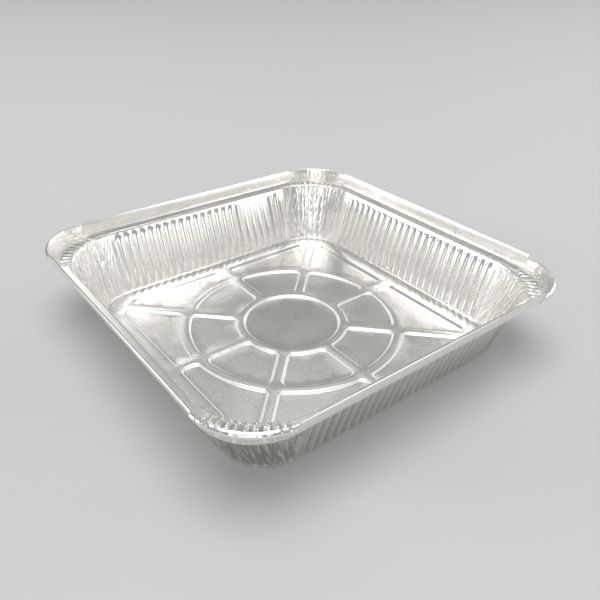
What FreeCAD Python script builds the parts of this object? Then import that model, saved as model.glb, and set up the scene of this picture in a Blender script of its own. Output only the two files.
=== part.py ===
import FreeCAD, Part
import math
import os

# Square foil food container pressed from one sheet of aluminium foil.
# Millimetres, +Z up, origin at the bottom centre, sides parallel to X and Y.
# The sheet's upper and lower skins are drawn a gauge apart and sewn into one thin solid.

doc = FreeCAD.newDocument("foil_container")
sizes = doc.addObject("Spreadsheet::Sheet", "Sizes")

dimensions = {
    "sheet_gauge": 0.25,       # sheet as drawn, stiffer than the foil so that it meshes
    "foot_half": 95.0,         # centre to the wall's foot
    "foot_corner": 27.0,       # corner radius at the foot
    "mouth_half": 107.5,       # centre to the top of the wall
    "ledge_level": 39.4,       # height of the ledge's upper face
    "ledge_width": 6.0,        # wall top to the ledge's fold along a side
    "flap_length": 167.6,      # upright flap along one side
    "flap_rise": 8.7,          # ledge to the flap's top edge
    "flap_lean": 1.9,          # how far the flap's top stands out from its fold
    "flap_hem": 1.6,           # height of the folded edge
    "hem_gauge": 0.9,          # thickness of the folded edge
    "rim_rise": 7.9,           # ledge to the corner rim's top edge
    "rim_flare": 2.5,          # how far the corner rim's top stands out from its fold
    "rim_roll": 2.0,           # height and width of the corner rim's rolled edge
    "rim_cut": 0.6,            # cut between a flap's end and the corner rim
    "flute_pitch": 5.8,        # one rib and one groove of the wall
    "rib_fullness": 2.2,       # 2 for a round rib, more for a squarer one
    "flute_depth": 1.3,        # rib over groove at the top of the wall
    "foot_flute_depth": 0.7,   # rib over groove at the foot
    "tip_length": 2.4,         # slope that closes each rib at its top
    "corner_pleats": 15,       # gathers in the wall of one corner
    "pleat_depth": 0.45,       # gather's ridge over its hollow
    "press_depth": 1.2,        # raised border and spokes over the panels
    "press_slope": 1.8,        # width of the slope round each panel
    "border_inset": 4.0,       # wall's foot to the raised border's outer edge
    "border_width": 9.0,       # raised border, out to in, beside an outer panel's straight side
    "field_width": 13.1,       # outer panel at the middle of a side, from its straight side to its arc
    "ring_gap": 4.1,           # raised ring between the outer panels and the ring panels
    "hub_gap": 3.5,            # raised ring between the ring panels and the centre disc
    "disc_radius": 30.7,       # centre disc at the top of its slope
    "spoke_width": 4.2,        # raised spoke between two panels
    "panel_corner": 4.4,       # corner radius of a panel at the top of its slope
    "ledge_pleats": 13,        # gathers across the ledge of one corner
    "ledge_pleat_height": 0.5, # gather's ridge over the ledge
    "ledge_pleat_width": 1.3,  # foot of a gather's ridge
}

for line, (alias, value) in enumerate(dimensions.items(), start=1):
    sizes.set("A%d" % line, alias)
    sizes.set("B%d" % line, str(value))
    sizes.setAlias("B%d" % line, alias)
doc.recompute()


def size(alias):
    return float(sizes.get(alias))


def shapeObject(name, shape, turn=0):
    # a shape from code, turned about +Z by an angle in degrees
    holder = doc.addObject("Part::Feature", name)
    holder.Shape = shape
    holder.Placement = FreeCAD.Placement(FreeCAD.Vector(), upright(turn))
    return holder


def upright(turn):
    return FreeCAD.Rotation(FreeCAD.Vector(0, 0, 1), turn)


def joinedObject(name, members):
    joined = doc.addObject("Part::MultiFuse", name)
    joined.Shapes = members
    return joined


def turned(x, y, quarter):
    # the same point on another side of the square
    for _ in range(quarter):
        x, y = -y, x
    return x, y


def arcThrough(points, level):
    start, middle, end = (FreeCAD.Vector(x, y, level) for x, y in points)
    return Part.Arc(start, middle, end).toShape()


def lineThrough(points, level):
    start, end = (FreeCAD.Vector(x, y, level) for x, y in points)
    return Part.makeLine(start, end)


# The wall: a fluted outline along the sides, gathered at the corners

def wallHalf(level):
    # centre to the wall at a height, the wall leaning out evenly
    lean = (size("mouth_half") - size("foot_half")) / size("ledge_level")
    return size("foot_half") + lean * level


def cornerCentre():
    return size("foot_half") - size("foot_corner")


def fluteCount():
    return int(2 * cornerCentre() / size("flute_pitch"))


def flutedSide(half, depth, quarter):
    # runs of points along one side from its right end to its left, one run for each rib
    pitch = size("flute_pitch")
    count = fluteCount()
    reach = cornerCentre()
    first = pitch * count / 2
    facetsPerRib = 5 if depth else 1
    runs = [[(reach, half), (first, half)]]
    for number in range(count):
        middle = first - pitch * (number + 0.5)
        run = []
        for step in range(facetsPerRib + 1):
            turn = 2 * step / facetsPerRib - 1
            rise = depth * (1 - abs(turn) ** size("rib_fullness"))
            run.append((middle - turn * pitch / 2, half - rise))
        runs.append(run)
    runs.append([(-first, half), (-reach, half)])
    return [[turned(x, y, quarter) for x, y in run] for run in runs]


def gatheredCorner(half, pleat, quarter):
    # runs round the corner at the left end of a side, every second fold drawn in
    centre = cornerCentre()
    count = 2 * int(size("corner_pleats"))
    stops = []
    for number in range(count + 1):
        angle = math.radians(90.0 * number / count)
        reach = half - centre - (pleat if number % 2 else 0)
        stops.append(turned(-centre - reach * math.sin(angle), centre + reach * math.cos(angle), quarter))
    return [list(pair) for pair in zip(stops, stops[1:])]


def wallOutline(level, depth, pleat, offset):
    # closed list of runs at one height, offset moving it to the other skin
    half = wallHalf(level) + offset
    runs = []
    for quarter in range(4):
        runs += flutedSide(half, depth, quarter)
        runs += gatheredCorner(half, pleat, quarter)
    return [[FreeCAD.Vector(x, y, level) for x, y in run] for run in runs]


def wallOutlines(bottom, top, offset):
    # outlines of one face of the wall at its foot, where its ribs begin to close, and at its top
    tips = size("ledge_level") - size("tip_length")
    pleat = size("pleat_depth")
    return [
        wallOutline(bottom, size("foot_flute_depth"), pleat / 2, offset),
        wallOutline(tips, size("flute_depth"), pleat, offset),
        wallOutline(top, 0, pleat / 2, offset),
    ]


def closedWire(runs):
    points = [point for run in runs for point in run[:-1]]
    return Part.makePolygon(points + points[:1])


def flatPatch(corners):
    return Part.Face(Part.makePolygon(corners + corners[:1]))


def patches(one, two, three, four):
    # the patch between two edges, in one piece where it is flat
    normal = (two - one).cross(four - one).normalize()
    if abs(normal.dot(three - one)) < 1e-7:
        return [flatPatch([one, two, three, four])]
    return [flatPatch([one, two, four]), flatPatch([two, three, four])]


def bandFaces(lower, upper):
    # faces between matching runs of two outlines, which may differ in their number of points
    faces = []
    for below, above in zip(lower, upper):
        i = j = 0
        while i < len(below) - 1 or j < len(above) - 1:
            near = (i + 0.5) / (len(below) - 1)
            far = (j + 0.5) / (len(above) - 1)
            if abs(near - far) < 1e-9:
                faces += patches(below[i], below[i + 1], above[j + 1], above[j])
                i, j = i + 1, j + 1
            elif near < far:
                faces.append(flatPatch([below[i], below[i + 1], above[j]]))
                i += 1
            else:
                faces.append(flatPatch([below[i], above[j + 1], above[j]]))
                j += 1
    return faces


# The rim: flat ledge, an upright flap on each side and a flared band round each corner

def rimCorner():
    return size("flap_length") / 2


def ledgeHalf():
    return size("mouth_half") + size("ledge_width")


def roundedSquare(half, centre, level):
    radius = half - centre
    middle = centre + radius * math.sqrt(0.5)
    edges = []
    for quarter in range(4):
        edges.append(lineThrough([turned(*p, quarter) for p in ((centre, half), (-centre, half))], level))
        bend = ((-centre, half), (-middle, middle), (-half, centre))
        edges.append(arcThrough([turned(*p, quarter) for p in bend], level))
    return Part.Wire(edges)


def profileFace(points):
    # closed outline in the XZ plane
    corners = [FreeCAD.Vector(x, 0, z) for x, z in points]
    return Part.Face(Part.makePolygon(corners + corners[:1]))


def flapProfile():
    # section of a flap, its folded edge turned to the outside
    gauge = size("sheet_gauge")
    fold = ledgeHalf()
    base = size("ledge_level") - gauge
    top = size("ledge_level") + size("flap_rise")
    tip = fold + size("flap_lean")
    hemFoot = top - size("flap_hem")
    hemSkin = fold + size("flap_lean") * (hemFoot - base) / (top - base)
    return [(fold - gauge, base), (tip - gauge, top), (tip - gauge + size("hem_gauge"), top),
            (hemSkin - gauge + size("hem_gauge"), hemFoot), (hemSkin, hemFoot), (fold, base)]


def rimProfile():
    # section of the corner band about the corner's centre line, rolled at its top
    gauge = size("sheet_gauge")
    fold = ledgeHalf() - rimCorner()
    base = size("ledge_level") - gauge
    top = size("ledge_level") + size("rim_rise")
    tip = fold + size("rim_flare")
    roll = size("rim_roll")
    skinFoot = top - roll
    skin = fold + size("rim_flare") * (skinFoot - base) / (top - base)
    return [(fold - gauge, base), (skin - gauge, skinFoot), (tip - roll / 2, top - roll / 4),
            (tip - roll / 4, top), (tip + roll / 4, top), (tip + roll / 2, top - roll / 4),
            (tip + roll / 2, skinFoot), (skin, skinFoot), (fold, base)]


def ledgePlate():
    plate = doc.addObject("Part::Extrusion", "ledge_plate")
    outline = roundedSquare(ledgeHalf(), rimCorner(), 0)
    plate.Base = shapeObject("ledge_outline", Part.Face(outline))
    plate.Base.setExpression("Placement.Base.z", "Sizes.ledge_level - Sizes.sheet_gauge")
    plate.DirMode = "Custom"
    plate.Dir = FreeCAD.Vector(0, 0, 1)
    plate.setExpression("LengthFwd", "Sizes.sheet_gauge")
    return plate


def ledgePleats(quarter):
    # gathers across the ledge of one corner, as low ridges that stay clear of its two folds
    count = int(size("ledge_pleats"))
    level = size("ledge_level")
    inner = cornerCentre()
    outer = rimCorner()
    margin = size("ledge_pleat_width") / 2
    ridges = []
    for number in range(count):
        angle = math.radians(90.0 * (number + 0.5) / count)
        outward = FreeCAD.Vector(math.cos(angle), math.sin(angle), 0)
        across = FreeCAD.Vector(-outward.y, outward.x, 0) * size("ledge_pleat_width") / 2
        rise = FreeCAD.Vector(0, 0, size("ledge_pleat_height"))
        start = FreeCAD.Vector(inner, inner, level) + outward * (size("mouth_half") - inner + margin)
        end = FreeCAD.Vector(outer, outer, level) + outward * (ledgeHalf() - outer - margin)
        section = Part.makePolygon([start - across, start + rise, start + across, start - across])
        ridges.append(Part.Face(section).extrude(end - start))
    return shapeObject("ledge_pleats_%d" % (quarter + 1), Part.makeCompound(ridges), 90 * quarter)


def flapSolid(quarter):
    flap = doc.addObject("Part::Extrusion", "flap_%d" % (quarter + 1))
    profile = shapeObject("flap_profile_%d" % (quarter + 1), profileFace(flapProfile()))
    flap.Base = profile
    flap.DirMode = "Custom"
    flap.Dir = FreeCAD.Vector(0, 1, 0)
    flap.Symmetric = True
    flap.setExpression("LengthFwd", "Sizes.flap_length")
    flap.Placement.Rotation = upright(90 * quarter)
    return flap


def rimSolid(quarter):
    # quarter turn less the cuts that part it from the flaps
    reach = ledgeHalf() - rimCorner() + size("rim_flare")
    cutAngle = math.degrees(size("rim_cut") / reach)
    rim = doc.addObject("Part::Revolution", "corner_rim_%d" % (quarter + 1))
    rim.Source = shapeObject("rim_profile_%d" % (quarter + 1), profileFace(rimProfile()))
    rim.Axis = FreeCAD.Vector(0, 0, 1)
    rim.Angle = 90 - 2 * cutAngle
    corner = FreeCAD.Vector(*turned(rimCorner(), rimCorner(), quarter), 0)
    rim.Placement = FreeCAD.Placement(corner, upright(90 * quarter + cutAngle))
    return rim


def rimForm():
    # ledge, flaps and corner rims as one piece, before the mouth is opened
    members = [ledgePlate()]
    for quarter in range(4):
        members.append(flapSolid(quarter))
        members.append(rimSolid(quarter))
        members.append(ledgePleats(quarter))
    return joinedObject("rim_form", members)


# The base: a raised border, ring and spokes round sunk panels

def borderHalf():
    return size("foot_half") - size("border_inset")


def fieldHalf():
    # centre to the straight side of an outer panel
    return borderHalf() - size("border_width")


def fieldStart():
    # radius of the outer panels' arc
    return fieldHalf() - size("field_width")


def ringEnd():
    return fieldStart() - size("ring_gap")


def ringStart():
    return size("disc_radius") + size("hub_gap")


def panelCurves(kind, number):
    # the bounding lines and arcs of one panel, in order round it, with its middle direction
    eighth = math.pi / 4
    first = number * eighth
    last = first + eighth
    gap = size("spoke_width") / 2
    lower = ("line", -math.sin(first), math.cos(first), gap)
    upper = ("line", math.sin(last), -math.cos(last), gap)
    if kind == "ring":
        return [("outside", ringStart()), lower, ("inside", ringEnd()), upper]
    quarter = ((number + 1) // 2) % 4
    normal = (-math.cos(quarter * math.pi / 2), -math.sin(quarter * math.pi / 2))
    wallLine = ("line", normal[0], normal[1], -fieldHalf())
    return [("outside", fieldStart()), lower, wallLine, upper]


def meetingPoint(one, other, inset):
    # where two bounding curves cross once both are moved inward
    if one[0] != "line":
        one, other = other, one
    a, b, c = one[1], one[2], one[3] + inset
    if other[0] == "line":
        d, e, f = other[1], other[2], other[3] + inset
        det = a * e - b * d
        return ((c * e - b * f) / det, (a * f - c * d) / det)
    radius = other[1] + (inset if other[0] == "outside" else -inset)
    reach = math.sqrt(radius * radius - c * c)
    return (a * c, b * c, reach)


def panelCorner(one, other, inset, bisector):
    found = meetingPoint(one, other, inset)
    if len(found) == 2:
        return found
    line = one if one[0] == "line" else other
    x, y, reach = found
    along = (-line[2], line[1])
    if along[0] * bisector[0] + along[1] * bisector[1] < 0:
        along = (-along[0], -along[1])
    return (x + along[0] * reach, y + along[1] * reach)


def footPoint(curve, corner, distance):
    # the point of a bounding curve nearest to a corner's centre
    x, y = corner
    if curve[0] == "line":
        return (x - curve[1] * distance, y - curve[2] * distance)
    reach = math.hypot(x, y)
    side = -distance if curve[0] == "outside" else distance
    return (x * (reach + side) / reach, y * (reach + side) / reach)


def arcStops(centre, start, end, count):
    # points along the shorter arc between two points, ends included
    x, y = centre
    radius = math.hypot(start[0] - x, start[1] - y)
    first = math.atan2(start[1] - y, start[0] - x)
    turn = math.atan2(end[1] - y, end[0] - x) - first
    turn -= 2 * math.pi * round(turn / (2 * math.pi))
    angles = [first + turn * number / count for number in range(1, count)]
    return [start] + [(x + radius * math.cos(a), y + radius * math.sin(a)) for a in angles] + [end]


def panelOutline(kind, number, inset, level):
    # runs round a panel with its corners rounded, moved inward by inset from the top of its slope
    facetsPerArc = 6
    facetsPerCorner = 3
    rounding = size("panel_corner")
    curves = panelCurves(kind, number)
    angle = (number + 0.5) * math.pi / 4
    bisector = (math.cos(angle), math.sin(angle))
    count = len(curves)
    centres = [panelCorner(curves[k], curves[(k + 1) % count], rounding, bisector) for k in range(count)]
    left = rounding - inset
    runs = []
    for k in range(count):
        curve = curves[k]
        start = footPoint(curve, centres[k - 1], left)
        end = footPoint(curve, centres[k], left)
        if curve[0] == "line":
            runs.append([start, end])
        else:
            runs.append(arcStops((0, 0), start, end, facetsPerArc))
        following = footPoint(curves[(k + 1) % count], centres[k], left)
        runs.append(arcStops(centres[k], end, following, facetsPerCorner))
    return [[FreeCAD.Vector(x, y, level) for x, y in run] for run in runs]


def discOutline(radius, level):
    count = 40
    angles = [2 * math.pi * number / count for number in range(count + 1)]
    stops = [FreeCAD.Vector(radius * math.cos(a), radius * math.sin(a), level) for a in angles]
    stops[-1] = stops[0]
    return [stops]


def flatFace(outline, holes):
    return Part.makeFace([outline] + holes, "Part::FaceMakerBullseye")


def pressedFaces(lift):
    # one skin of the base inside its foot: the border's slope, and the border, spokes and panels
    low = lift
    high = lift + size("press_depth")
    slope = size("press_slope")
    centre = cornerCentre()
    border = roundedSquare(borderHalf(), centre, high)
    borderFoot = roundedSquare(borderHalf() + slope, centre, low)
    faces = Part.makeLoft([borderFoot, border], False, True).Faces
    disc = size("disc_radius")
    pairs = [(discOutline(disc - slope, low), discOutline(disc, high))]
    for number in range(8):
        for kind in ("ring", "field"):
            foot = panelOutline(kind, number, slope, low)
            top = panelOutline(kind, number, 0, high)
            pairs.append((foot, top))
    for foot, top in pairs:
        faces += bandFaces(foot, top)
        faces.append(Part.Face(closedWire(foot)))
    faces.append(flatFace(border, [closedWire(top) for foot, top in pairs]))
    return faces, borderFoot


def baseFaces(lift, wallFoot):
    faces, borderFoot = pressedFaces(lift)
    faces.append(flatFace(wallFoot, [borderFoot]))
    return faces


def otherWires(face):
    return [wire for wire in face.Wires if not wire.isSame(face.OuterWire)]


def openedFaces(rim, innerMouth, outerMouth):
    # the rim's faces, its two flat ones opened where the wall comes in
    gauge = size("sheet_gauge")
    faces = []
    for face in rim.Faces:
        box = face.BoundBox
        wide = box.XLength > size("foot_half") and box.YLength > size("foot_half") and box.ZLength < gauge / 2
        if not wide:
            faces.append(face)
        elif box.ZMin > size("ledge_level") - gauge / 2:
            faces.append(flatFace(face.OuterWire, otherWires(face) + [innerMouth]))
        else:
            faces.append(flatFace(face.OuterWire, otherWires(face) + [outerMouth]))
    return faces


def traySolid(rim):
    gauge = size("sheet_gauge")
    ledge = size("ledge_level")
    inner = wallOutlines(gauge, ledge, -gauge)
    outer = wallOutlines(0, ledge - gauge, 0)
    faces = openedFaces(rim, closedWire(inner[-1]), closedWire(outer[-1]))
    for outlines, lift in ((inner, gauge), (outer, 0)):
        for lower, upper in zip(outlines, outlines[1:]):
            faces += bandFaces(lower, upper)
        faces += baseFaces(lift, closedWire(outlines[0]))
    skin = Part.makeShell(faces)
    skin.sewShape()
    solid = Part.makeSolid(skin)
    if solid.Volume < 0:
        solid.reverse()
    return solid


def writePart(piece):
    os.makedirs("parts", exist_ok=True)
    piece.Shape.exportStep("parts/%s.step" % piece.Label)


rim = rimForm()
doc.recompute()
tray = shapeObject("foil_tray", traySolid(rim.Shape))
tray.Label = "foil_tray"
doc.recompute()
for item in doc.Objects:
    faults = [state for state in item.State if state in ("Invalid", "Error")]
    if faults:
        raise RuntimeError("%s is %s" % (item.Name, faults))
if tray.Shape.isNull() or not tray.Shape.isValid():
    raise RuntimeError("the tray's shape is not valid")
writePart(tray)
print("solids", len(tray.Shape.Solids), "volume", round(tray.Shape.Volume, 1), tray.Shape.BoundBox)
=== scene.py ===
import math

import bpy
import numpy as np
from mathutils import Matrix, Vector
from mathutils.geometry import delaunay_2d_cdt


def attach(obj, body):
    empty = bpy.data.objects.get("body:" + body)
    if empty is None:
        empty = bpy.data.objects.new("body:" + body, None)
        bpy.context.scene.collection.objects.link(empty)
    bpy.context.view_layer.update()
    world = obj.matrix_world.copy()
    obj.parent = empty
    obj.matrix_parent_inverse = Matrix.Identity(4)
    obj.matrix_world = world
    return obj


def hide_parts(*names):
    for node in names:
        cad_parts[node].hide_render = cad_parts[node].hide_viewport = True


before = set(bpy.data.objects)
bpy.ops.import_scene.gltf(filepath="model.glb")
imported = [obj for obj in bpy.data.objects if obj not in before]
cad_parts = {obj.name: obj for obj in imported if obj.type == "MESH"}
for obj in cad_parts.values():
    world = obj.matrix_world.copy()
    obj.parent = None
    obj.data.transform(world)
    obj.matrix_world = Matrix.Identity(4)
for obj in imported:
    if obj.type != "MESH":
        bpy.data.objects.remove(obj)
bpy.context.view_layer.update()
mm = 0.001


# nodes written as expressions

class Link:
    # a socket that Python's own operators add Math nodes to

    def __init__(self, tree, socket):
        self.tree = tree
        self.socket = socket

    def calc(self, operation, *values):
        node = makeNode(self.tree, "ShaderNodeMath", {"operation": operation}, dict(enumerate(values)))
        return Link(self.tree, node.outputs[0])

    def __add__(self, other): return self.calc("ADD", self, other)
    def __radd__(self, other): return self.calc("ADD", other, self)
    def __sub__(self, other): return self.calc("SUBTRACT", self, other)
    def __rsub__(self, other): return self.calc("SUBTRACT", other, self)
    def __mul__(self, other): return self.calc("MULTIPLY", self, other)
    def __rmul__(self, other): return self.calc("MULTIPLY", other, self)
    def __truediv__(self, other): return self.calc("DIVIDE", self, other)
    def __rtruediv__(self, other): return self.calc("DIVIDE", other, self)
    def __pow__(self, other): return self.calc("POWER", self, other)
    def __neg__(self): return self.calc("MULTIPLY", self, -1.0)
    def __abs__(self): return self.calc("ABSOLUTE", self)
    def cos(self): return self.calc("COSINE", self)
    def floor(self): return self.calc("FLOOR", self)
    def atLeast(self, other): return self.calc("MAXIMUM", self, other)

    def blend(self, low, high, start=0.0, end=1.0):
        # smooth step from start, where self is low, to end, where it is high
        node = makeNode(self.tree, "ShaderNodeMapRange", {"interpolation_type": "SMOOTHSTEP"},
                        {0: self, 1: low, 2: high, 3: start, 4: end})
        return Link(self.tree, node.outputs[0])


def makeNode(tree, kind, settings=None, inputs=None):
    # one node from its type, its settings and the values or links of its sockets
    node = tree.nodes.new(kind)
    for name, value in (settings or {}).items():
        setattr(node, name, value)
    for key, value in (inputs or {}).items():
        socket = node.inputs[key]
        if isinstance(value, Link):
            tree.links.new(value.socket, socket)
        else:
            socket.default_value = value
    return node


def out(tree, kind, settings=None, inputs=None, output=0):
    node = makeNode(tree, kind, settings, inputs)
    return Link(tree, node.outputs[output])


def noise(tree, place, scale=1.0, detail=1.0):
    # value about 0, from about -0.5 to 0.5
    return out(tree, "ShaderNodeTexNoise", {"noise_dimensions": "3D"},
               {"Vector": place, "Scale": scale, "Detail": detail}) - 0.5


def vector(tree, x, y, z):
    return out(tree, "ShaderNodeCombineXYZ", None, {0: x, 1: y, 2: z})


def scaled(tree, direction, length):
    return out(tree, "ShaderNodeVectorMath", {"operation": "SCALE"}, {0: direction, "Scale": length})


# the sheet, in millimetres

sheet = {
    "gauge": 0.2,   # thickness of the visible foil
    "footHalf": 95.0, "mouthHalf": 107.5, "ledgeLevel": 39.4,
    "wallCentre": 68.0,   # centre of a corner's arcs in the wall
    "footProfile": ((92.8, 0.0), (93.9, 0.0), (94.6, 0.05), (94.95, 0.3), (95.15, 0.8)),   # from the centre, level
    "wallLevels": (2.4, 6, 12, 20, 28, 33, 34.8, 36.1, 37.3, 38.3),
    "mouthProfile": ((0.1, 39.15), (0.55, 39.4)),   # out from the mouth, level
    "patternStart": 94.2, "patternRun": 0.9,   # where the ribs and folds begin at the foot
    "cornerEase": 8,   # a corner's folds are full at this fraction of its turn
    "steadyLevel": 20,   # the base holds the wall straight below this
    "ledgeDips": ((0.12, 0.0), (0.3, 0.13), (0.5, 0.0), (0.7, 0.13), (0.88, 0.08), (1.0, 0.0)),   # across, down
    "ledgeNarrow": 6.3, "ledgeGrowth": 4,   # width with no gathers, and how much more gives full ones
    "foldHalf": 113.5, "foldCentre": 83.8,   # the crease that the flaps and rims stand on
    "cut": 0.55,   # between a flap and a rim
    "flapTop": 47.8, "flapLean": 1.6,
    "flapDents": ((0.12, 0.0), (0.35, 0.12), (0.52, -0.08), (0.8, 0.0)),   # share of the height, out
    "flapEdge": ((-0.02, -0.35), (0.12, 0.0), (0.5, -0.08), (0.85, -0.42), (0.95, -0.9), (0.85, -1.7)),   # out, up
    "flapStreaks": (0.02, 0.08, 0.05, 0.3),   # fine ripples across each flap
    "rimFlare": 1.3, "rimBend": 1.2,
    "rimShares": (0.12, 0.3, 0.5, 0.7, 0.85, 1.0),   # rows up to the rolled edge
    "rimEdge": ((0.1, 0.75), (0.4, 1.0), (0.85, 0.84), (1.35, 0.56),
                (1.75, 0.2), (1.97, -0.35), (2.0, -0.85), (1.85, -1.3)),   # out, up
    "rimRise": (8.0, 8.0, 8.1, 6.9),   # corners from the back one, round to the left
    "rimDips": ((0.5, 0.4), (1.1, 0.4), (0.3, 0.8), (0.3, 1.5)),   # how much lower beside its two flaps
    "ribCount": 23, "ribColumns": 7, "foldColumns": 8, "rimColumns": 90,
}

sideSpan = 200.0   # what along grows by from one side to the next


class SheetMesh:
    # points with what the ribs, gathers and material need to know of each, and faces

    factNames = ("along", "level", "rib", "gather", "ledge", "rim", "loose", "streaks", "crinkle")

    def __init__(self):
        self.points, self.faces, self.facts = [], [], []

    def add(self, point, **facts):
        self.points.append(point)
        self.facts.append(facts)
        return len(self.points) - 1

    def addGrid(self, rows):
        # rows of point numbers, each as long as the next
        for low, high in zip(rows, rows[1:]):
            for k in range(len(low) - 1):
                self.faces.append([low[k], low[k + 1], high[k + 1], high[k]])

    def build(self, name):
        mesh = bpy.data.meshes.new(name)
        mesh.from_pydata([[c * mm for c in p] for p in self.points], [], self.faces)
        for fact in self.factNames:
            values = np.array([f.get(fact, 0.0) for f in self.facts], np.float32)
            mesh.attributes.new(fact, "FLOAT", "POINT").data.foreach_set("value", values)
        outward = np.array([f.get("outward", (0.0, 0.0, 0.0)) for f in self.facts], np.float32)
        mesh.attributes.new("outward", "FLOAT_VECTOR", "POINT").data.foreach_set("vector", outward.ravel())
        return mesh


def turned(x, y, quarter):
    for _ in range(quarter):
        x, y = -y, x
    return x, y


def smooth(x):
    x = min(max(x, 0.0), 1.0)
    return x * x * (3 - 2 * x)


def perimeterColumns():
    # one entry for each column round the container: where it is on the fold, and its place on the wall
    s = sheet
    columns = []
    step = ribs["Pitch"] / s["ribColumns"]
    reach = int(s["ribCount"] * s["ribColumns"] / 2) * step
    sideStops = [s["wallCentre"]] + [reach - step * k for k in range(int(round(2 * reach / step)) + 1)]
    sideStops.append(-s["wallCentre"])
    radius = s["foldHalf"] - s["foldCentre"]
    straight = np.linspace(s["wallCentre"], s["foldCentre"], s["foldColumns"] + 1)
    cutAngle = s["cut"] / radius
    arc = np.linspace(cutAngle, math.pi / 2 - cutAngle, s["rimColumns"] + 1)
    corner = [(x, s["foldHalf"]) for x in straight]
    corner += [(s["foldCentre"] + radius * math.sin(a), s["foldCentre"] + radius * math.cos(a)) for a in arc]
    corner += [(s["foldHalf"], x) for x in straight[::-1]]
    for quarter in range(4):
        for x in sideStops:
            columns.append({"kind": "side", "quarter": quarter, "x": x, "fold": (x, s["foldHalf"])})
        for number, (x, y) in enumerate(corner[1:-1]):
            # the corner at the left end of the side, so its points run the other way round
            angle = math.atan2(x - s["wallCentre"], y - s["wallCentre"])
            place = number + 1 - s["foldColumns"]
            columns.append({"kind": "corner", "quarter": quarter, "angle": angle, "fold": (-x, y),
                            "flap": place <= 0 or place >= s["rimColumns"] + 2})
    return columns


def wallPoint(column, half):
    # the column's point where the wall is half from the centre, with the way out from there
    c = sheet["wallCentre"]
    if column["kind"] == "side":
        return turned(column["x"], half, column["quarter"]), turned(0.0, 1.0, column["quarter"])
    a = column["angle"]
    r = half - c
    way = turned(-math.sin(a), math.cos(a), column["quarter"])
    return turned(-c - r * math.sin(a), c + r * math.cos(a), column["quarter"]), way


def buildWall(mesh, columns):
    s = sheet
    lean = (s["mouthHalf"] - s["footHalf"]) / s["ledgeLevel"]
    profile = list(s["footProfile"])
    profile += [(s["footHalf"] + lean * z, z) for z in s["wallLevels"]]
    profile += [(s["mouthHalf"] + outby, z) for outby, z in s["mouthProfile"]]
    rows = []
    arcLength = (s["mouthHalf"] - s["wallCentre"]) * math.pi / 2
    for half, z in profile:
        row = []
        for column in columns:
            (x, y), way = wallPoint(column, half)
            foot = smooth((half - s["patternStart"]) / s["patternRun"])
            facts = {"outward": (*way, 0.0), "level": z, "loose": smooth(z / s["steadyLevel"])}
            if column["kind"] == "side":
                facts.update(along=column["x"] + sideSpan * column["quarter"], rib=foot)
            else:
                share = column["angle"] / (math.pi / 2)
                inCorner = smooth(share * s["cornerEase"]) * smooth((1 - share) * s["cornerEase"])
                facts.update(along=sideSpan / 2 + arcLength * (share - 0.5) + sideSpan * column["quarter"],
                             gather=foot * inCorner, streaks=foot * inCorner)
            row.append(mesh.add((x, y, z), **facts))
        rows.append(row + row[:1])
    mesh.addGrid([row[::-1] for row in rows])
    return rows[0][:-1], rows[-1][:-1]


def buildLedge(mesh, columns, mouth):
    # flat and plain along the sides, wide and gathered round the corners
    s = sheet
    rows = [mouth]
    start = s["mouthHalf"] + s["mouthProfile"][-1][0]
    turnRun = 34.4   # along for a radian of a corner
    for share, dip in s["ledgeDips"]:
        row = []
        for column in columns:
            (x0, y0), way = wallPoint(column, start)
            x1, y1 = turned(*column["fold"], column["quarter"])
            width = math.hypot(x1 - x0, y1 - y0)
            wide = smooth((width - s["ledgeNarrow"]) / s["ledgeGrowth"])
            place = (x0 + (x1 - x0) * share, y0 + (y1 - y0) * share, s["ledgeLevel"] - dip * (1 - 0.6 * wide))
            along = column.get("x", turnRun * column.get("angle", 0.0)) + sideSpan * column["quarter"]
            row.append(mesh.add(place, outward=(*way, 0.0), level=s["ledgeLevel"] + width * share,
                                loose=1.0 - share, along=along, streaks=0.5 * wide,
                                crinkle=wide * (0.3 + 0.7 * smooth(share * 2 - 0.4)),
                                ledge=wide * math.sin(math.pi * share) ** 0.5 if share < 1 else 0.0))
        rows.append(row)
    mesh.addGrid([(row + row[:1])[::-1] for row in rows])
    return rows[-1]


def buildFlap(mesh, columns, fold, quarter):
    # upright flap of one side with its edge folded down to the outside
    s = sheet
    count = len(columns)
    members = [k for k in range(count) if columns[k]["quarter"] == quarter and
               (columns[k]["kind"] == "side" or (columns[k]["flap"] and columns[k]["angle"] < math.pi / 4))]
    before = [k for k in range(count) if columns[k]["quarter"] == (quarter - 1) % 4 and
              columns[k]["kind"] == "corner" and columns[k]["flap"] and columns[k]["angle"] > math.pi / 4]
    members = before + members
    way = turned(0.0, 1.0, quarter)
    rise = s["flapTop"] - s["ledgeLevel"]
    profile = [(s["flapLean"] * share + dent, rise * share) for share, dent in s["flapDents"]]
    profile += [(s["flapLean"] + outby, rise + up) for outby, up in s["flapEdge"]]
    rows = [[fold[k] for k in members]]
    for outby, up in profile:
        row = []
        for k in members:
            x, y = mesh.points[fold[k]][:2]
            sideways = x * way[1] - y * way[0]
            row.append(mesh.add((x + way[0] * outby, y + way[1] * outby, s["ledgeLevel"] + up),
                                outward=(*way, 0.0), level=s["ledgeLevel"] + up,
                                along=sideways + sideSpan * quarter, loose=0.4 + up / rise, crinkle=0.02,
                                streaks=s["flapStreaks"][quarter] * smooth(2.2 - 2 * up / rise)))
        rows.append(row)
    mesh.addGrid([row[::-1] for row in rows])


def foldOutward(x, y):
    # direction out from the fold, square to it
    c = sheet["foldCentre"]
    dx, dy = max(abs(x) - c, 0.0), max(abs(y) - c, 0.0)
    length = math.hypot(dx, dy)
    return math.copysign(dx / length, x), math.copysign(dy / length, y)


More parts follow.
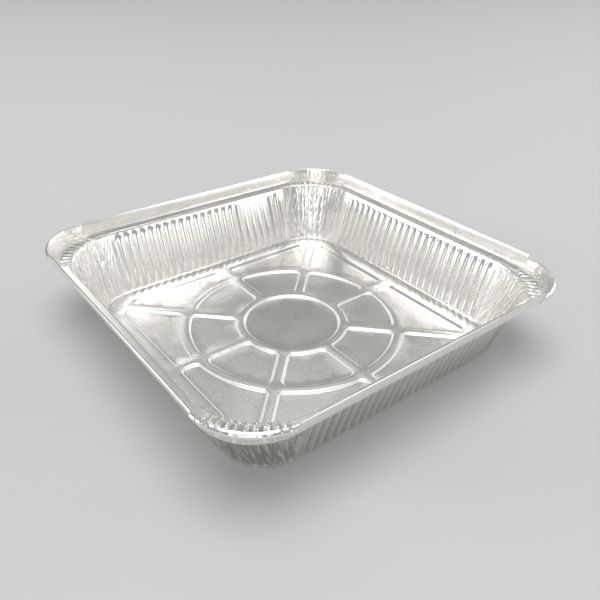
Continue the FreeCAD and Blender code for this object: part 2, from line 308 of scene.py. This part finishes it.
def buildRim(mesh, columns, fold, quarter):
    # flared band round the corner at the left end of a side, its edge curled out
    s = sheet
    members = [k for k in range(len(columns)) if columns[k]["quarter"] == quarter and
               columns[k]["kind"] == "corner" and not columns[k]["flap"]]
    corner = (quarter + 1) % 4
    rise = s["rimRise"][corner]
    firstDip, lastDip = s["rimDips"][corner]
    dipColumns, easeColumns = 20, 5   # how far a dip reaches, and how soon the crest is full
    runLength, levelShift = 54.0, 12   # along from end to end, and what sets its folds apart from the ledge's
    bandTop = rise - 1.0
    profile = [(s["rimFlare"] * share ** s["rimBend"], bandTop * share) for share in s["rimShares"]]
    profile += [(s["rimFlare"] + outby, bandTop + up) for outby, up in s["rimEdge"]]
    rows = [[fold[k] for k in members]]
    length = len(members) - 1
    for outby, up in profile:
        row = []
        for place, k in enumerate(members):
            x, y = mesh.points[fold[k]][:2]
            way = foldOutward(x, y)
            ends = smooth(place / easeColumns) * smooth((length - place) / easeColumns)
            dip = firstDip * smooth(1 - place / dipColumns) + lastDip * smooth(1 - (length - place) / dipColumns)
            height = up * (1 - dip / rise)
            row.append(mesh.add((x + way[0] * outby, y + way[1] * outby, s["ledgeLevel"] + height),
                                outward=(*way, 0.0), level=s["ledgeLevel"] + levelShift + up,
                                along=runLength * place / length + sideSpan * quarter, loose=0.3,
                                streaks=0.45 - 0.45 * smooth(up - 5), crinkle=0.85 - 0.8 * smooth(up - 4.5),
                                rim=(0.1 + 0.9 * ends) * smooth(up / 2.5)))
        rows.append(row)
    mesh.addGrid([row[::-1] for row in rows])


# the base: a raised border, rings and spokes round sunk panels

press = {
    "depth": 1.2, "slope": 1.7, "borderHalf": 91.0, "borderSlope": 1.5, "fieldHalf": 82.0,
    "discRadius": 30.7, "ringStart": 34.2, "ringEnd": 64.8, "fieldStart": 68.9,
    "spokeHalf": 2.1, "corner": 4.4,
    "stops": ((0.0, 1.0), (0.1, 0.965), (0.3, 0.75), (0.7, 0.25), (0.9, 0.035), (1.0, 0.0)),   # across, height
    "spacing": 2.1, "discPoints": 120, "cornerPoints": 7,
    "gridHalf": 88.0, "gridStep": 5.5, "gridClear": 2.6,   # loose points between the pressed edges
}


def panelCurves(kind, number):
    # the four edges of a panel: two spokes, an inner arc, and an outer arc or the border
    p = press
    eighth = math.pi / 4
    first, last = number * eighth, (number + 1) * eighth
    lower = ("line", -math.sin(first), math.cos(first), p["spokeHalf"])
    upper = ("line", math.sin(last), -math.cos(last), p["spokeHalf"])
    if kind == "ring":
        return [("outside", p["ringStart"]), lower, ("inside", p["ringEnd"]), upper]
    quarter = ((number + 1) // 2) % 4
    wall = ("line", -math.cos(quarter * math.pi / 2), -math.sin(quarter * math.pi / 2), -p["fieldHalf"])
    return [("outside", p["fieldStart"]), lower, wall, upper]


def roundingCentre(one, other, inset, bisector):
    # where the round corner between two edges has its centre
    if one[0] != "line":
        one, other = other, one
    a, b, c = one[1], one[2], one[3] + inset
    if other[0] == "line":
        d, e, f = other[1], other[2], other[3] + inset
        det = a * e - b * d
        return (c * e - b * f) / det, (a * f - c * d) / det
    radius = other[1] + (inset if other[0] == "outside" else -inset)
    reach = math.sqrt(radius * radius - c * c)
    side = 1 if -b * bisector[0] + a * bisector[1] > 0 else -1
    return a * c - b * reach * side, b * c + a * reach * side


def touchPoint(curve, centre, distance):
    x, y = centre
    if curve[0] == "line":
        return x - curve[1] * distance, y - curve[2] * distance
    reach = math.hypot(x, y)
    side = -distance if curve[0] == "outside" else distance
    return x * (reach + side) / reach, y * (reach + side) / reach


def arcStops(centre, start, end, count):
    x, y = centre
    radius = math.hypot(start[0] - x, start[1] - y)
    first = math.atan2(start[1] - y, start[0] - x)
    turn = math.atan2(end[1] - y, end[0] - x) - first
    turn -= 2 * math.pi * round(turn / (2 * math.pi))
    return [(x + radius * math.cos(first + turn * k / count), y + radius * math.sin(first + turn * k / count))
            for k in range(count)]


def panelLoop(kind, number, inset):
    # outline of a panel, drawn in by the inset, with as many points whatever the inset is
    curves = panelCurves(kind, number)
    angle = (number + 0.5) * math.pi / 4
    bisector = (math.cos(angle), math.sin(angle))
    rounding = press["corner"]
    count = len(curves)
    centres = [roundingCentre(curves[k], curves[(k + 1) % count], rounding, bisector) for k in range(count)]
    left = rounding - inset
    stops = []
    for k in range(count):
        start = touchPoint(curves[k], centres[k - 1], left)
        end = touchPoint(curves[k], centres[k], left)
        wideStart = touchPoint(curves[k], centres[k - 1], rounding)
        wideEnd = touchPoint(curves[k], centres[k], rounding)
        parts = max(2, round(math.dist(wideStart, wideEnd) / press["spacing"]))
        if curves[k][0] == "line":
            stops += [(start[0] + (end[0] - start[0]) * n / parts, start[1] + (end[1] - start[1]) * n / parts)
                      for n in range(parts)]
        else:
            stops += arcStops((0, 0), start, end, parts)
        following = touchPoint(curves[(k + 1) % count], centres[k], left)
        stops += arcStops(centres[k], end, following, press["cornerPoints"])
    return stops


def borderLoop(half):
    # square with round corners, with as many points whatever its size is
    centre, spacing = sheet["wallCentre"], press["spacing"]
    stops = []
    radius = half - centre
    parts = int(2 * centre / spacing)
    bends = int((press["borderHalf"] + 1 - centre) * math.pi / 2 / spacing)
    for quarter in range(4):
        stops += [turned(centre - 2 * centre * n / parts, half, quarter) for n in range(parts)]
        for n in range(bends):
            a = math.pi / 2 * n / bends
            stops.append(turned(-centre - radius * math.sin(a), centre + radius * math.cos(a), quarter))
    return stops


def insideLoop(spot, outline):
    x, y = spot
    inside = False
    for k in range(len(outline)):
        (x0, y0), (x1, y1) = outline[k - 1], outline[k]
        if (y0 > y) != (y1 > y) and x < (x1 - x0) * (y - y0) / (y1 - y0) + x0:
            inside = not inside
    return inside


def buildBase(mesh, footLoop):
    p = press
    flat, heights, edges, outlines = [], [], [], []

    def addLoop(stops, z):
        start = len(flat)
        flat.extend(Vector(s) for s in stops)
        heights.extend([z] * len(stops))
        edges.extend((start + k, start + (k + 1) % len(stops)) for k in range(len(stops)))

    addLoop([mesh.points[k][:2] for k in footLoop], 0.0)
    for share, height in p["stops"]:
        addLoop(borderLoop(p["borderHalf"] + p["borderSlope"] * share), p["depth"] * height)
    disc = [(math.cos(a), math.sin(a)) for a in np.linspace(0, 2 * math.pi, p["discPoints"] + 1)[:-1]]
    for share, height in p["stops"]:
        radius = p["discRadius"] - p["slope"] * share
        addLoop([(x * radius, y * radius) for x, y in disc], p["depth"] * height)
    outlines.append([(x * radius, y * radius) for x, y in disc])
    for number in range(8):
        for kind in ("ring", "field"):
            for share, height in p["stops"]:
                addLoop(panelLoop(kind, number, p["slope"] * share), p["depth"] * height)
            outlines.append(panelLoop(kind, number, p["slope"]))
    # a few loose points inside the flat panels and on the raised parts, between the pressed edges
    grid = np.arange(-p["gridHalf"], p["gridHalf"] + 0.1, p["gridStep"])
    near = np.array([tuple(v) for v in flat])
    for x in grid:
        for y in grid:
            spot = (x + 0.9 * math.sin(y * 0.7), y + 0.9 * math.cos(x * 0.6))
            if np.min(np.hypot(near[:, 0] - spot[0], near[:, 1] - spot[1])) < p["gridClear"]:
                continue
            inside = any(insideLoop(spot, outline) for outline in outlines)
            if not inside and max(abs(spot[0]), abs(spot[1])) > p["borderHalf"] - 2:
                continue
            flat.append(Vector(spot))
            heights.append(0.0 if inside else p["depth"])
    verts, _, faces, origins, _, _ = delaunay_2d_cdt(flat, edges, [], 1, 1e-5)
    numbers = []
    for vert, origin in zip(verts, origins):
        if origin[0] < len(footLoop):
            numbers.append(footLoop[origin[0]])
        else:
            z = heights[origin[0]]
            numbers.append(mesh.add((vert.x, vert.y, z), level=z))
    mesh.faces.extend([numbers[k] for k in face] for face in faces)


def buildSheet():
    columns = perimeterColumns()
    mesh = SheetMesh()
    footLoop, mouth = buildWall(mesh, columns)
    fold = buildLedge(mesh, columns, mouth)
    for quarter in range(4):
        buildFlap(mesh, columns, fold, quarter)
        buildRim(mesh, columns, fold, quarter)
    buildBase(mesh, footLoop)
    data = mesh.build("foilSheet")
    print("sheet:", len(data.vertices), "points,", len(columns), "columns")
    return bpy.data.objects.new("foilTray", data)


# Geometry Nodes: ribs and gathers pressed into the sheet

def nodeTree(name, sizes):
    # a tree with its geometry and one named input for each size
    tree = bpy.data.node_groups.new(name, "GeometryNodeTree")
    tree.interface.new_socket("Geometry", in_out="INPUT", socket_type="NodeSocketGeometry")
    tree.interface.new_socket("Material", in_out="INPUT", socket_type="NodeSocketMaterial")
    for label in sizes:
        tree.interface.new_socket(label, in_out="INPUT", socket_type="NodeSocketFloat")
    tree.interface.new_socket("Geometry", in_out="OUTPUT", socket_type="NodeSocketGeometry")
    entry = makeNode(tree, "NodeGroupInput")
    return tree, entry, {label: Link(tree, entry.outputs[label]) for label in sizes}


def fact(tree, name, kind="FLOAT"):
    return out(tree, "GeometryNodeInputNamedAttribute", {"data_type": kind}, {"Name": name})


def noted(tree, entry, name, value):
    # the geometry with one more value kept on its points, for the material
    return out(tree, "GeometryNodeStoreNamedAttribute", {"data_type": "FLOAT", "domain": "POINT"},
               {"Geometry": Link(tree, entry.outputs[0]), "Name": name, "Value": value})


def closeTree(tree, entry, geometry, offset):
    # moves the points, and ends with plain geometry in its material
    moved = out(tree, "GeometryNodeSetPosition", None, {"Geometry": geometry, "Offset": offset})
    plain = out(tree, "GeometryNodeRealizeInstances", None, {0: moved})
    finished = out(tree, "GeometryNodeSetMaterial", None,
                   {"Geometry": plain, "Material": Link(tree, entry.outputs["Material"])})
    last = makeNode(tree, "NodeGroupOutput")
    tree.links.new(finished.socket, last.inputs[0])
    return tree


ribs = {
    "Pitch": 5.8, "Depth": 1.4, "Narrowing": 1.35, "Unevenness": 0.15,
    "FootDepth": 0.25, "FootRun": 9.0,   # shallower at the foot, up to this level
    "TipLevel": 37.9, "TipArch": 1.6, "TipSlope": 4.2, "TipUnevenness": 0.9,
    "KnockPlace": 43.0, "KnockCore": 9.0, "KnockReach": 20.0, "KnockStrength": 0.8,   # a dented patch
    "Seed": 3.0,
}


def ribTree():
    tree, entry, size = nodeTree("pressRibs", ribs)
    along, level, mask = fact(tree, "along"), fact(tree, "level"), fact(tree, "rib")
    side = (along / sideSpan + 0.5).floor()
    place = along - side * sideSpan
    turn = place / size["Pitch"] + 0.5
    number = turn.floor()
    across = abs((turn - number) * 2.0 - 1.0)
    outline = (across ** size["Narrowing"] * math.pi).cos() * 0.5 + 0.5
    chance = noise(tree, vector(tree, number * 3.7 + side * 31.0, size["Seed"], level * 0.02), 1.0)
    tip = size["TipLevel"] - size["TipArch"] * across * across + chance * size["TipUnevenness"]
    closing = (tip - level).blend(0.0, size["TipSlope"])
    depth = level.blend(0.0, size["FootRun"], size["FootDepth"], size["Depth"])
    depth = depth * (1.0 + chance * 2.0 * size["Unevenness"])
    # a knock near the back of the first side has flattened its ribs there
    core, reach = size["KnockCore"], size["KnockReach"]
    knock = abs(place - size["KnockPlace"]).blend(core, reach, 1.0, 0.0) * level.blend(core, reach)
    knock = knock * (1.0 - abs(side).blend(0.2, 0.6))
    pressed = outline * closing * mask * (1.0 - knock * size["KnockStrength"])
    offset = scaled(tree, fact(tree, "outward", "FLOAT_VECTOR"), -(pressed * depth) * mm)
    # where the ribs are pressed is kept on the points, and the material paints shade into the grooves of the outer
    # skin with it
    return closeTree(tree, entry, noted(tree, entry, "pressed", pressed), offset)


gathers = {
    "WallSize": 2.3, "WallHeight": 0.74, "SlantSize": 3.2, "Slant": 0.12,
    "LedgeSize": 3.2, "LedgeHeight": 0.9, "RimSize": 2.4, "RimHeight": 0.34, "RimCrest": 0.28,
    "WaveScale": 26.0, "Waviness": 0.16, "Seed": 11.0,
}


def gatherTree():
    tree, entry, size = nodeTree("pressGathers", gathers)
    along, level = fact(tree, "along"), fact(tree, "level")
    inWall, onLedge, onRim, loose = (fact(tree, name) for name in ("gather", "ledge", "rim", "loose"))
    seed = size["Seed"]

    def foldNoise(across, up, shift, detail):
        return noise(tree, vector(tree, across, up, seed + shift), 1.0, detail)

    # folds of the corner walls and of the rims move the sheet in and out
    fine = foldNoise(along / size["WallSize"] + level * 0.03, level / 28.0, 0.0, 0.0)
    slanted = foldNoise(along / size["SlantSize"] - level * size["Slant"], level / 20.0, 7.0, 0.0)
    ridged = 0.5 - abs(fine) * 4.0
    wall = ((ridged * 0.6 + slanted * 1.1) * size["WallHeight"] - 0.6) * inWall
    crest = foldNoise(along / size["RimSize"], level * 0.12, 3.0, 1.0)
    rim = (crest - 0.25) * size["RimHeight"] * 2.0 * onRim
    broad = noise(tree, out(tree, "GeometryNodeInputPosition"), size["WaveScale"]) * loose * size["Waviness"] * 2.0
    outby = scaled(tree, fact(tree, "outward", "FLOAT_VECTOR"), (wall + rim + broad) * mm)
    # folds of the corner ledges move it up
    drift = noise(tree, vector(tree, along / 5.4, seed + 20.0, 0.0))
    folds = ((along / size["LedgeSize"] + drift * 0.9) * (2.0 * math.pi)).cos() * 0.5 + 0.5
    taller = noise(tree, vector(tree, along / 3.0, seed + 40.0, 0.0)) + 0.8
    nearMouth = loose.blend(0.25, 0.65)
    crumple = foldNoise(along / 1.3, level * 0.5, 30.0, 1.0)
    ledge = folds * folds * taller * nearMouth * size["LedgeHeight"] + crumple * (1.0 - nearMouth) * 0.5
    up = (ledge * onLedge + crest * onRim * size["RimCrest"] - 0.06 * onRim) * mm
    offset = out(tree, "ShaderNodeVectorMath", {"operation": "ADD"}, {0: outby, 1: vector(tree, 0.0, 0.0, up)})
    # where the ledge's folds dip is kept on the points, for painted shade in the material
    valley = (1.0 - folds).blend(0.35, 0.95) * nearMouth * onLedge
    return closeTree(tree, entry, noted(tree, entry, "valley", valley), offset)


def pressInto(piece, tree, sizes, material):
    # adds the tree as a modifier, with its inputs set by their identifiers
    modifier = piece.modifiers.new(tree.name, "NODES")
    modifier.node_group = tree
    found = {item.name: item.identifier for item in tree.interface.items_tree if item.in_out == "INPUT"}
    modifier[found["Material"]] = material
    for label, value in sizes.items():
        modifier[found[label]] = value


# the foil's finish, with sizes in millimetres

foilFinish = {
    "bright": (0.93, 0.915, 0.88, 1.0), "dull": (0.88, 0.872, 0.845, 1.0),
    "roughness": 0.225, "roughnessSpread": 0.07, "discRoughness": -0.02, "panelRoughness": 0.03,
    "speckSize": 0.8, "speckHeight": 0.012, "speckShade": 0.5, "speckRoughness": 0.06,
    "grainSize": 0.9, "grainStretch": 0.08, "grainHeight": 0.003,
    "cloudSize": 26.0, "cloudHeight": 0.12,
    "foldSize": 2.4, "foldLength": 30.0, "slantSize": 2.3, "slantLean": 0.16, "slantLength": 22.0,
    # the streak, crinkle, outer, rib and valley shades darken the colour as painted shade, and the stroke shade
    # lightens it as a painted highlight
    "streakHeight": 0.22, "streakPaintedShade": 0.14, "creaseWidth": 0.055, "creaseHeight": 2.7,
    "crinkleSize": 1.8, "crinkleHeight": 0.7, "crinklePaintedShade": 0.25,
    "outerPaintedShade": 0.38, "strokePaintedHighlight": 0.5, "strokeWidth": 0.085, "ribPaintedShade": 0.28, "valleyPaintedShade": 0.5,
    "frost": 0.8, "frostRoughness": 0.1,
}


def foilMaterial():
    f = foilFinish
    material = bpy.data.materials.new("rolledFoil")
    material.use_nodes = True
    tree = material.node_tree
    tree.nodes.clear()

    def attribute(name, output="Fac"):
        return out(tree, "ShaderNodeAttribute", {"attribute_name": name}, None, output)

    def texture(place, size):
        return noise(tree, place, 1.0 / (size * mm), 2.0)

    place = out(tree, "ShaderNodeTexCoord", None, None, "Object")
    along, level, streaks, crinkle = (attribute(name) for name in ("along", "level", "streaks", "crinkle"))
    grainScale = (f["grainStretch"], 1.0, 1.0)
    grain = texture(out(tree, "ShaderNodeMapping", None, {"Vector": place, "Scale": grainScale}), f["grainSize"])
    cloud = texture(place, f["cloudSize"])
    speck = texture(place, f["speckSize"])
    crumple = texture(place, f["crinkleSize"])
    fold = noise(tree, vector(tree, along / f["foldSize"], level / f["foldLength"], 4.0), 1.0, 1.0)
    slantPlace = along / f["slantSize"] + level * f["slantLean"]
    slant = noise(tree, vector(tree, slantPlace, level / f["slantLength"], 9.0), 1.0, 0.0)
    sharpFold = abs(fold) * 1.2 + abs(slant)
    crease = (f["creaseWidth"] - abs(slant)).atLeast(0.0)
    flat = level.blend(1.3, 2.5, 1.0, 0.0)   # the base, where the rolled grain shows
    height = (speck * f["speckHeight"] + grain * f["grainHeight"]) * flat + cloud * f["cloudHeight"]
    height = height + (crease * f["creaseHeight"] - sharpFold * f["streakHeight"]) * streaks
    height = height + abs(crumple) * crinkle * f["crinkleHeight"]
    # the pressed edges of the base are frosted, all but those along the two far walls
    axes = makeNode(tree, "ShaderNodeSeparateXYZ", None, {0: place})
    far = Link(tree, axes.outputs[0]).atLeast(Link(tree, axes.outputs[1])).blend(0.077, 0.0795)
    slope = level.blend(0.02, 0.3) * level.blend(0.9, 1.18, 1.0, 0.0)
    frost = slope * (1.0 - far)
    reach = out(tree, "ShaderNodeVectorMath", {"operation": "LENGTH"}, {0: place}, "Value")
    roughness = f["roughness"] + cloud * f["roughnessSpread"] + speck * flat * f["speckRoughness"]
    roughness = roughness + reach.blend(0.028, 0.034, f["discRoughness"], f["panelRoughness"])
    roughness = roughness + frost * f["frostRoughness"]
    metallic = 1.0 - frost * f["frost"]
    tint = out(tree, "ShaderNodeMix", {"data_type": "RGBA"},
               {"Factor": (cloud + 0.5).blend(0.35, 0.65), "A": f["dull"], "B": f["bright"]}, 2)
    # painted light and shade in the colour: on the outer skin the corner folds get painted darker flanks with
    # painted bright strokes, and the pressed grooves get painted shade
    normal = out(tree, "ShaderNodeNewGeometry", None, None, "True Normal")
    outside = out(tree, "ShaderNodeVectorMath", {"operation": "DOT_PRODUCT"},
                  {0: normal, 1: attribute("outward", "Vector")}, "Value").blend(0.3, 0.6)
    strokeHighlightMask = 1.0 - abs(slant).blend(0.3 * f["strokeWidth"], f["strokeWidth"])
    # painted shade along the folds wherever the sheet is streaked
    foldPaintedLightAndShade = (sharpFold * f["streakPaintedShade"] + outside * (f["outerPaintedShade"] - strokeHighlightMask * f["strokePaintedHighlight"])) * streaks
    # painted shade in the crinkles
    foldPaintedLightAndShade = foldPaintedLightAndShade + abs(crumple) * crinkle * f["crinklePaintedShade"]
    # painted shade in the rib grooves of the outer skin and in the ledge's fold valleys
    hollowPaintedShade = attribute("pressed") * outside * f["ribPaintedShade"] + attribute("valley") * f["valleyPaintedShade"]
    shade = 1.0 + speck * flat * f["speckShade"] - foldPaintedLightAndShade - hollowPaintedShade
    bump = out(tree, "ShaderNodeBump", None, {"Height": height, "Strength": 1.0, "Distance": mm}, "Normal")
    surface = makeNode(tree, "ShaderNodeBsdfPrincipled", None, {
        "Base Color": scaled(tree, tint, shade), "Metallic": metallic, "Roughness": roughness, "Normal": bump})
    last = makeNode(tree, "ShaderNodeOutputMaterial")
    tree.links.new(surface.outputs[0], last.inputs["Surface"])
    return material


# the container

def plainCopy(piece):
    # the evaluated piece as a mesh with nothing left on it
    graph = bpy.context.evaluated_depsgraph_get()
    data = bpy.data.meshes.new_from_object(piece.evaluated_get(graph))
    piece.modifiers.clear()
    piece.data = data


def buildTray():
    foil = foilMaterial()
    tray = buildSheet()
    bpy.context.scene.collection.objects.link(tray)
    tray.data.materials.append(foil)
    pressInto(tray, ribTree(), ribs, foil)
    pressInto(tray, gatherTree(), gathers, foil)
    plainCopy(tray)
    print("ribs and gathers pressed")
    thicken = tray.modifiers.new("thicken", "SOLIDIFY")
    thicken.thickness = sheet["gauge"] * mm
    thicken.offset = 0.0
    plainCopy(tray)
    tray.data.transform(Matrix.Translation((0, 0, sheet["gauge"] * mm / 2)))
    tray.data.polygons.foreach_set("use_smooth", [True] * len(tray.data.polygons))
    tray.data.set_sharp_from_angle(angle=math.radians(50))
    tray.data.update()
    triangles = sum(len(face.vertices) - 2 for face in tray.data.polygons)
    print("foil thickened:", triangles, "triangles")
    return tray


tray = buildTray()
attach(tray, "root")
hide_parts("foil_tray")


# stage, light and camera

studio = {
    "floorColour": (0.56, 0.56, 0.555, 1.0), "floorRoughness": 0.7, "floorHalf": 6.0,
    "floorDrop": 0.0002,   # keeps the floor clear of the foot
    "world": 0.33,
    "lamps": {
        "top": {"place": (-0.2, -0.1, 3.0), "size": 2.4, "power": 63.0},
        "front": {"place": (1.6, -2.5, 0.8), "size": 1.2, "power": 9.0},
        "left": {"place": (-2.3, 1.9, 0.8), "size": 1.2, "power": 22.0},
        "behind": {"place": (-1.9, -2.0, 1.0), "size": 1.8, "power": 17.0},
        "backLeft": {"place": (0.7, 2.9, 1.35), "size": 1.1, "power": 4.2},
        "backRight": {"place": (2.8, 1.2, 1.35), "size": 1.1, "power": 7.0},
        "backTop": {"place": (1.33, 1.68, 2.38), "size": 0.9, "power": 1.0},
        "right": {"place": (2.9, -0.7, 0.7), "size": 1.4, "power": 17.0},
    },
}


def buildStage():
    paint = bpy.data.materials.new("floorPaint")
    paint.use_nodes = True
    surface = paint.node_tree.nodes["Principled BSDF"]
    surface.inputs["Base Color"].default_value = studio["floorColour"]
    surface.inputs["Roughness"].default_value = studio["floorRoughness"]
    data = bpy.data.meshes.new("floor")
    half = studio["floorHalf"]
    data.from_pydata([(-half, -half, 0), (half, -half, 0), (half, half, 0), (-half, half, 0)], [], [(0, 1, 2, 3)])
    data.materials.append(paint)
    floor = bpy.data.objects.new("floor", data)
    floor.location.z = -studio["floorDrop"]
    bpy.context.scene.collection.objects.link(floor)


def addLamp(name, facts):
    # a square lamp that faces the container
    data = bpy.data.lights.new(name, "AREA")
    data.shape = "SQUARE"
    data.size = facts["size"]
    data.energy = facts["power"]
    lamp = bpy.data.objects.new(name, data)
    lamp.location = facts["place"]
    lamp.rotation_euler = (-Vector(facts["place"])).to_track_quat("-Z", "Y").to_euler()
    bpy.context.scene.collection.objects.link(lamp)


def buildWorld():
    world = bpy.data.worlds.new("studio")
    world.use_nodes = True
    world.node_tree.nodes["Background"].inputs["Color"].default_value = (1.0, 1.0, 1.0, 1.0)
    world.node_tree.nodes["Background"].inputs["Strength"].default_value = studio["world"]
    bpy.context.scene.world = world


camera = {
    "place": (-0.19841, -0.25894, 0.21876), "azimuth": -38.323, "elevation": 31.808, "roll": 1.074, "lens": 37.08,
}


def addCamera():
    a, e, r = (math.radians(camera[name]) for name in ("azimuth", "elevation", "roll"))
    back = Vector((math.sin(a) * math.cos(e), -math.cos(a) * math.cos(e), math.sin(e)))
    right = Vector((0, 0, 1)).cross(back).normalized()
    up = back.cross(right)
    rolledRight = right * math.cos(r) + up * math.sin(r)
    rolledUp = up * math.cos(r) - right * math.sin(r)
    data = bpy.data.cameras.new("photoView")
    data.sensor_width = 36
    data.lens = camera["lens"]
    data.clip_start = 0.01
    holder = bpy.data.objects.new("photoView", data)
    axes = Matrix((rolledRight, rolledUp, back)).transposed()
    holder.matrix_world = Matrix.Translation(camera["place"]) @ axes.to_4x4()
    bpy.context.scene.collection.objects.link(holder)
    bpy.context.scene.camera = holder


buildStage()
for lampName, lampFacts in studio["lamps"].items():
    addLamp(lampName, lampFacts)
buildWorld()
addCamera()
bpy.context.scene.view_settings.view_transform = "Standard"
print("stage ready")
